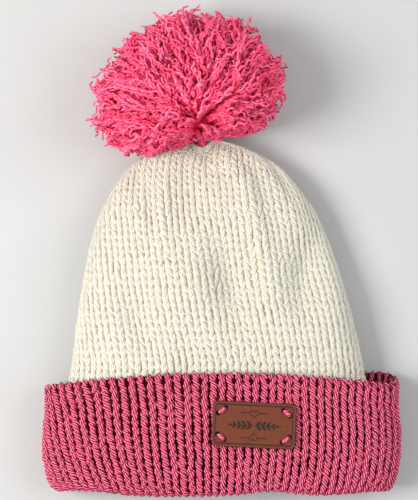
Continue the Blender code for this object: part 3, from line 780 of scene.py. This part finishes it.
def kinked_locks(locks, plies, steps, seed):
    """Paths of plies in locks. Each lock rises from the tie, falls over outwards and kinks as one,
    and its plies part towards their tips. The kinks are added last, so that they stay crisp where
    the plies are held off the crown."""
    chance = np.random.default_rng(seed)
    toward = spread_directions(locks)
    degrees = np.arange(-77, 284)
    room = np.cumsum(np.interp(degrees, ball_reaches[:, 0], ball_reaches[:, 1]) ** 1.25)
    around = np.mod(np.arctan2(toward[:, 1], toward[:, 0]) / math.tau, 1.0)
    around = np.radians(np.interp(around, room / room[-1], degrees))
    around += chance.normal(0.0, 0.08, locks)
    off_axis = 0.14 + 2.16 * np.arccos(np.clip(toward[:, 2], -1, 1)) / math.pi
    off_axis += chance.normal(0.0, 0.07, locks)
    fall = chance.uniform(0.25, 0.75, locks) * np.clip(off_axis, 0.3, 1.0)
    fall *= 1.0 - 0.7 * np.clip(off_axis - 1.1, 0.0, 1.0)
    veer = chance.normal(0.0, 0.42, locks)
    long = 1.05 - 0.24 * chance.random(locks) ** 1.5
    wave, start = chance.uniform(5.0, 7.5, locks), chance.random(locks)
    swing = chance.uniform(0.7, 1.3, locks)
    shade = chance.uniform(0.45, 1.0, locks)

    def heading(turn, off):
        level = np.sin(off)
        return np.stack((level * np.cos(turn), level * np.sin(turn), np.cos(off)), axis=1)

    tips = heading(around, off_axis)
    knees = heading(around + veer, off_axis - fall)
    tips, knees = tips * (ball_reach(tips) * long)[:, None], knees * ball_reach(knees)[:, None]
    aside = unit(np.cross(knees, chance.normal(0, 1, knees.shape)))

    each = np.repeat(np.arange(locks), plies)
    count = len(each)
    shorter = (1 - 0.14 * chance.random(count) ** 2)[:, None]
    tip = TIE + tips[each] * shorter + chance.normal(0.0, 1.1, (count, 3))
    knee = TIE + knees[each] * 1.02 * shorter + chance.normal(0.0, 1.0, (count, 3))
    rise = TIE + knees[each] * 0.45 + chance.normal(0.0, 0.8, (count, 3))
    root = TIE + np.array((0.0, 0.0, -2.0)) + chance.normal(0.0, 1.0, (count, 3))
    t = 0.22 + 0.78 * np.linspace(0, 1, steps)
    T = t[None, :, None]
    path = ((1 - T) ** 3 * root[:, None] + 3 * T * (1 - T) ** 2 * rise[:, None]
            + 3 * T**2 * (1 - T) * knee[:, None] + T**3 * tip[:, None])
    ahead = unit(np.gradient(path, axis=1))
    side = unit(np.cross(ahead, aside[each][:, None]))
    other = np.cross(ahead, side)
    gone = np.cumsum(np.linalg.norm(np.diff(path, axis=1, prepend=path[:, :1]), axis=2), axis=1)
    phase = math.tau * (gone / wave[each][:, None] + start[each][:, None])
    phase = phase + chance.normal(0, 0.35, (count, 1))
    sway = swing[each][:, None] * np.clip((t - 0.1) / 0.3, 0.15, 1.0)[None, :]
    kinks = side * (sway * np.sin(phase))[..., None]
    kinks += other * (0.5 * sway * np.cos(phase * 0.93))[..., None]
    radii = CORAL_PLY * (1.0 - 0.35 * t**8) * chance.uniform(0.75, 1.25, (count, 1))
    away = path - TIE
    over = np.linalg.norm(away, axis=-1) / ball_outline(unit(away))
    path = TIE + away / (1 + eased(over / (0.90 + 0.17 * chance.random((count, 1))) - 1))[..., None]
    clear = 2.4 + radii + 9.0 * chance.random((count, 1)) ** 1.5
    path[..., 1] += eased(crown_top(path[..., 0], path[..., 2]) + clear - path[..., 1])
    path += kinks
    path[..., 2] = np.maximum(path[..., 2], radii + 0.05)
    # Painted shade: the plies are darker towards the tie, deep in the ball; each lock also has its
    # own random tone.
    tint = np.clip((t - 0.2) * 1.5, 0.0, 1.0)[None, :] * shade[each][:, None]
    return path, np.broadcast_to(aside[each][:, None], path.shape), radii, tint


def tying_strands(strands, steps, seed):
    """Paths of the strands that run from the tie down into the gathers."""
    chance = np.random.default_rng(seed)

    def scattered(place, spread):
        return np.array(place) + chance.normal(0.0, 1.0, (strands, 1, 3)) * spread

    start = scattered(TIE, (4.0, 1.0, 6.0)) + (0.0, 2.0, 4.0)
    middle = scattered((-12.5, 223.0, 22.0), (1.5, 0.5, 3.5))
    end = scattered(GATHERS, (0.8, 0.5, 1.5))
    t = np.linspace(0.0, 1.0, steps)[None, :, None]
    path = (1 - t) ** 2 * start + 2 * t * (1 - t) * middle + t**2 * end
    path = path + 0.5 * np.sin(t * 21.0 + start[..., :1])
    radii = np.full(path.shape[:2], CORAL_PLY)
    ups = np.broadcast_to(np.array((0.3, 0.1, 1.0)), path.shape)
    # Painted shade: the strands darken towards the gathers, under the ball.
    return path, ups, radii, np.broadcast_to(0.75 - 0.35 * t[..., 0], radii.shape)


def core_rings(levels, turns):
    """Rings of points round the pompom's packed middle, which is a little lumpy and stays well
    inside the plies at its top, near the table and where they are short."""
    around = math.tau * np.arange(turns) / turns
    rings = []
    for i in range(levels):
        down = math.pi * (i + 0.5) / levels
        toward = np.stack((math.sin(down) * np.cos(around), math.sin(down) * np.sin(around),
                           np.full(turns, math.cos(down))), axis=1)
        bumps = 0.79 + 0.04 * np.sin(around * 9 + i * 1.7) * np.sin(i * 1.9)
        bumps -= 0.25 * math.exp(-(down / 0.45) ** 2) + 0.12 * min(1.0, max(0.0, down - 1.2) / 0.4)
        reach = ball_reach(toward)
        rings.append(TIE + toward * (reach * bumps * np.clip(0.6 + reach / 150.0, 0, 1))[:, None])
    rings = np.array(rings)[::-1]
    rings[..., 2] = np.maximum(rings[..., 2], 1.0)
    return rings


# Painted shade: the deep saturated red darkens the plies towards the tie, and the middle one the
# grooves between plies.
coral_wool = wool("coral_wool", (0.96, 0.014, 0.080, 1), (1.0, 0.11, 0.25, 1),
                  (1.0, 0.26, 0.44, 1), 2.0, 3.4, 0.08, bloom=0.75)
for name, seed in (("pompom_locks_a", 21), ("pompom_locks_b", 22), ("pompom_locks_c", 23)):
    path = kinked_locks(LOCKS, PLIES, PLY_STEPS, seed)
    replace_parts(yarn(name, path, 3, False, coral_wool), "pompom")
path = tying_strands(TIE_STRANDS, 14, 24)
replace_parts(yarn("pompom_tie", path, 5, False, coral_wool), "pompom")

# Painted shade: the packed middle is a deep red, the colour of the yarn in shade, so that the gaps
# between the plies show saturated red.
core_felt_painted_shade = felt("coral_felt_painted_shade", (0.85, 0.020, 0.085, 1), (0.98, 0.065, 0.165, 1))
core = felt_wall("pompom_core", core_rings(22, 44), True, core_felt_painted_shade)
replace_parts(core, "pompom")


# The label: a tag of firm tan leather, cut with round corners and burnished at its edges. It has
# a border, two hearts on lines and two sprigs of leaves pressed into it, and punched sewing holes.

# Where the label's middle lies on the hat, and its turns about X, Y and Z in degrees
LABEL_PLACE = (18.9, 44.0, 43.874)
LABEL_TURNS = (-0.0916, 1.8729, -2.8015)
LABEL_WIDE, LABEL_LONG, LABEL_THICK = 50.0, 27.0, 1.4

# The radius of its corners and of its rounded front edge, its sewing holes and how far each is from
# its pair's middle, the pressed border, how deep the lines are, and the grid's step
LABEL_CORNER, EDGE_ROUND = 3.0, 0.45
HOLE_RADIUS, HOLE_FROM_MIDDLE = 1.25, 2.65
BORDER_INSET, BORDER_CORNER = 1.9, 1.8
PRESSED_DEEP = 0.2
CELL = 0.3


def label_to_hat(points):
    """From the label's own plane to the hat."""
    a, b, c = (math.radians(turn) for turn in LABEL_TURNS)
    about_x = np.array(((1, 0, 0), (0, math.cos(a), -math.sin(a)), (0, math.sin(a), math.cos(a))))
    about_y = np.array(((math.cos(b), 0, math.sin(b)), (0, 1, 0), (-math.sin(b), 0, math.cos(b))))
    about_z = np.array(((math.cos(c), -math.sin(c), 0), (math.sin(c), math.cos(c), 0), (0, 0, 1)))
    return points @ (about_z @ about_y @ about_x).T + np.array(LABEL_PLACE)


# Middle and lean of each pair of sewing holes, and the stitch that goes through it
hole_pairs = {
    "stitch_top_right": (19.4, 7.9, -38.0),
    "stitch_top_left": (-19.4, 7.9, 38.0),
    "stitch_bottom_left": (-19.4, -7.9, -38.0),
    "stitch_bottom_right": (19.4, -7.9, 38.0),
}


def plate_depth(x, y, inset, corner):
    """How far a place is inside a plate with round corners that is so much smaller all round."""
    dx = np.abs(x) - (LABEL_WIDE / 2 - inset - corner)
    dy = np.abs(y) - (LABEL_LONG / 2 - inset - corner)
    outside = np.hypot(np.maximum(dx, 0), np.maximum(dy, 0)) + np.minimum(np.maximum(dx, dy), 0)
    return corner - outside


def label_depth(x, y):
    """How far a place is from the label's cut edges, its holes among them."""
    depth = plate_depth(x, y, 0.0, LABEL_CORNER)
    for px, py, lean in hole_pairs.values():
        for end in (-HOLE_FROM_MIDDLE, HOLE_FROM_MIDDLE):
            hx = px + end * math.cos(math.radians(lean))
            hy = py + end * math.sin(math.radians(lean))
            depth = np.minimum(depth, np.hypot(x - hx, y - hy) - HOLE_RADIUS)
    return depth


def leaf(x, y, across, up):
    """A small solid leaf that grows from a stem, as a chain of points that covers it."""
    t = np.linspace(0.0, 1.0, 8)
    chain = []
    for k, side in enumerate((-1.0, -0.5, 0.0, 0.5, 1.0)):
        bow = 0.16 * side * np.sin(math.pi * t)
        edge = np.stack((x + across * t - up * bow, y + up * t + across * bow), axis=1)
        chain.append(edge[::-1][1:] if k % 2 else edge[1 if k else 0 :])
    return np.concatenate(chain)


def pressed_lines():
    """The lines pressed into the leather, as chains of points."""
    lines = []
    turn = np.linspace(0.0, math.tau, 33)
    heart_x = 2.55 * np.sin(turn) ** 3
    heart_y = 13 * np.cos(turn) - 5 * np.cos(2 * turn) - 2 * np.cos(3 * turn) - np.cos(4 * turn)
    for middle, up in ((6.6, 1.0), (-7.4, -1.0)):
        lines.append(np.stack((heart_x, middle + up * heart_y * 0.145), axis=1))
        level = middle + up * 0.4
        for side in (-1, 1):
            lines.append(np.array(((side * 2.5, level), (side * 8.0, level))))
    stem = -0.4
    for side in (-1, 1):
        lines.append(np.array(((side * 0.8, stem), (side * 12.6, stem))))
        lines.append(leaf(side * 12.7, stem, side * 2.4, 0.0))
        for k, size in enumerate((1.0, 0.95, 0.8, 0.6)):
            for up in (-1, 1):
                across, away = side * 2.8 * size, up * 2.1 * size
                lines.append(leaf(side * (1.6 + 3.1 * k), stem + up * 0.35, across, away))
    return lines


def pressed(x, y):
    """How deep the pressed lines are at a place, from 0 to 1."""
    nearest = np.full(x.shape, 9.0)
    for line in pressed_lines():
        for a, b in zip(line, line[1:]):
            along = b - a
            dx, dy = x - a[0], y - a[1]
            t = np.clip((dx * along[0] + dy * along[1]) / (along @ along), 0, 1)
            nearest = np.minimum(nearest, np.hypot(dx - along[0] * t, dy - along[1] * t))
    border = np.abs(plate_depth(x, y, BORDER_INSET, BORDER_CORNER))
    return np.maximum(np.exp(-(nearest / 0.26) ** 2), np.exp(-(border / 0.36) ** 2))


def label_mesh():
    """The label's points, faces and tint: a grid trimmed and pulled to its outline, with a rounded
    front edge, pressed lines, a flat back and a cut edge that joins the two."""
    nx, ny = round(LABEL_WIDE / CELL) + 1, round(LABEL_LONG / CELL) + 1
    x, y = np.meshgrid(np.linspace(-LABEL_WIDE / 2, LABEL_WIDE / 2, nx),
                       np.linspace(-LABEL_LONG / 2, LABEL_LONG / 2, ny), indexing="ij")
    mx, my = (x[1:, 1:] + x[:-1, :-1]) / 2, (y[1:, 1:] + y[:-1, :-1]) / 2
    kept = label_depth(mx, my) > 0.0
    used = np.zeros(x.shape, bool)
    for i, j in ((0, 0), (1, 0), (0, 1), (1, 1)):
        used[i : nx - 1 + i, j : ny - 1 + j] |= kept
    for _ in range(3):
        depth = label_depth(x, y)
        step = 1e-4
        gx = (label_depth(x + step, y) - depth) / step
        gy = (label_depth(x, y + step) - depth) / step
        steep = gx**2 + gy**2 + 1e-6
        near = used & (depth < 0.35 * CELL)
        x, y = np.where(near, x - gx * depth / steep, x), np.where(near, y - gy * depth / steep, y)
    depth = label_depth(x, y)
    inwards = np.clip(depth, 0, EDGE_ROUND) / EDGE_ROUND
    rounded = EDGE_ROUND * (1 - np.sqrt(1 - (1 - inwards) ** 2))
    groove = pressed(x, y)
    top = LABEL_THICK - rounded - PRESSED_DEEP * groove
    index = np.full(x.shape, -1)
    index[used] = np.arange(used.sum())
    n = used.sum()
    points = np.concatenate((
        np.stack((x[used], y[used], top[used]), axis=1),
        np.stack((x[used], y[used], 0.3 * rounded[used]), axis=1),
    ))
    i, j = np.nonzero(kept)
    a, b, c, d = index[i, j], index[i + 1, j], index[i + 1, j + 1], index[i, j + 1]
    faces = [np.stack((a, b, c, d), axis=1), np.stack((d, c, b, a), axis=1) + n]
    rims = np.concatenate((np.stack((a, b), 1), np.stack((b, c), 1),
                           np.stack((c, d), 1), np.stack((d, a), 1)))
    code = rims[:, 0] * (n + 1) + rims[:, 1]
    back = rims[:, 1] * (n + 1) + rims[:, 0]
    rims = rims[~np.isin(code, back)]
    faces.append(np.stack((rims[:, 1], rims[:, 0], rims[:, 0] + n, rims[:, 1] + n), axis=1))
    worn = np.clip(np.maximum(groove * 1.4, (1 - depth / 0.8) * 0.75), 0, 1)[used]
    return points, np.concatenate(faces), np.concatenate((worn, np.ones(n)))


def leather():
    """Tan leather: fine pores and wrinkles, cloudy dye, and dark burnished edges and grooves."""

    def relief(tree):
        place = node(tree, "TexCoord")[3]
        pores = node(tree, "TexVoronoi", {"Vector": place, "Scale": 1500.0},
                     feature="DISTANCE_TO_EDGE")[0]
        return reckon(tree, "MULTIPLY_ADD", speckle(tree, 0.5, 5.0), 0.6,
                      reckon(tree, "MULTIPLY", pores, 0.9))

    def colour(tree, height):
        dye = tinted(tree, speckle(tree, 6.0, 4.0), (0.084, 0.0165, 0.005, 1),
                     (0.140, 0.030, 0.010, 1))
        grain = reckon(tree, "MULTIPLY_ADD", speckle(tree, 0.6, 2.0), 2.4, -0.9, clamp=True)
        dye = tinted(tree, grain, dye, (0.190, 0.048, 0.019, 1))
        worn = node(tree, "Attribute", attribute_name="tint")[2]
        return tinted(tree, worn, dye, (0.022, 0.009, 0.006, 1))

    def roughness(tree, height):
        return reckon(tree, "MULTIPLY_ADD", height, 0.25, 0.45)

    return finish("tan_leather", colour, roughness, relief, 0.09, Specular_IOR_Level=0.25)


points, quads, worn = label_mesh()
label = new_piece("label_leather", label_to_hat(points), quads, leather(), tint=worn)
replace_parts(label, "label")


# The four stitches: a strand of coral yarn comes up through one hole of each pair and goes down
# through the other, and holds the label's corner to the cuff.

# Half a stitch's length and its radius, the height of its foot and its rise, and the angle past
# level at which its ends turn down
STITCH_HALF, STITCH_RADIUS = 1.75, 1.12
STITCH_FOOT, STITCH_RISE = 0.7, 1.5
STITCH_DIP = 0.12
# Painted shade: the middle colour darkens the grooves between plies, and the deep one the ends of
# each stitch.
sewing_wool = wool("sewing_wool", (0.50, 0.004, 0.030, 1), (0.55, 0.020, 0.070, 1),
                   (1.0, 0.23, 0.37, 1), 3.0, 1.9, 0.5, bloom=0.1, crisp=1.8)
turn = np.linspace(-STITCH_DIP, math.pi + STITCH_DIP, 25)
along = STITCH_HALF * np.cos(turn)
lifted = STITCH_FOOT + STITCH_RISE * np.maximum(-0.5, np.sin(turn))
# Painted shade: each stitch darkens towards its ends, where it goes down into the holes.
tint = np.clip(np.sin(turn) * 1.6, 0.15, 1.0)[None]
for name, (px, py, lean) in hole_pairs.items():
    along_x, along_y = math.cos(math.radians(lean)), math.sin(math.radians(lean))
    arch = np.stack((px + along * along_x, py + along * along_y, lifted), axis=1)
    centres = label_to_hat(arch)[None]
    ups = np.broadcast_to(np.array((-along_y, along_x, 0.0)), centres.shape)
    radii = np.full(centres.shape[:2], STITCH_RADIUS)
    path = (centres, ups, radii, tint)
    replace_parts(yarn(name + "_yarn", path, 8, False, sewing_wool), name)
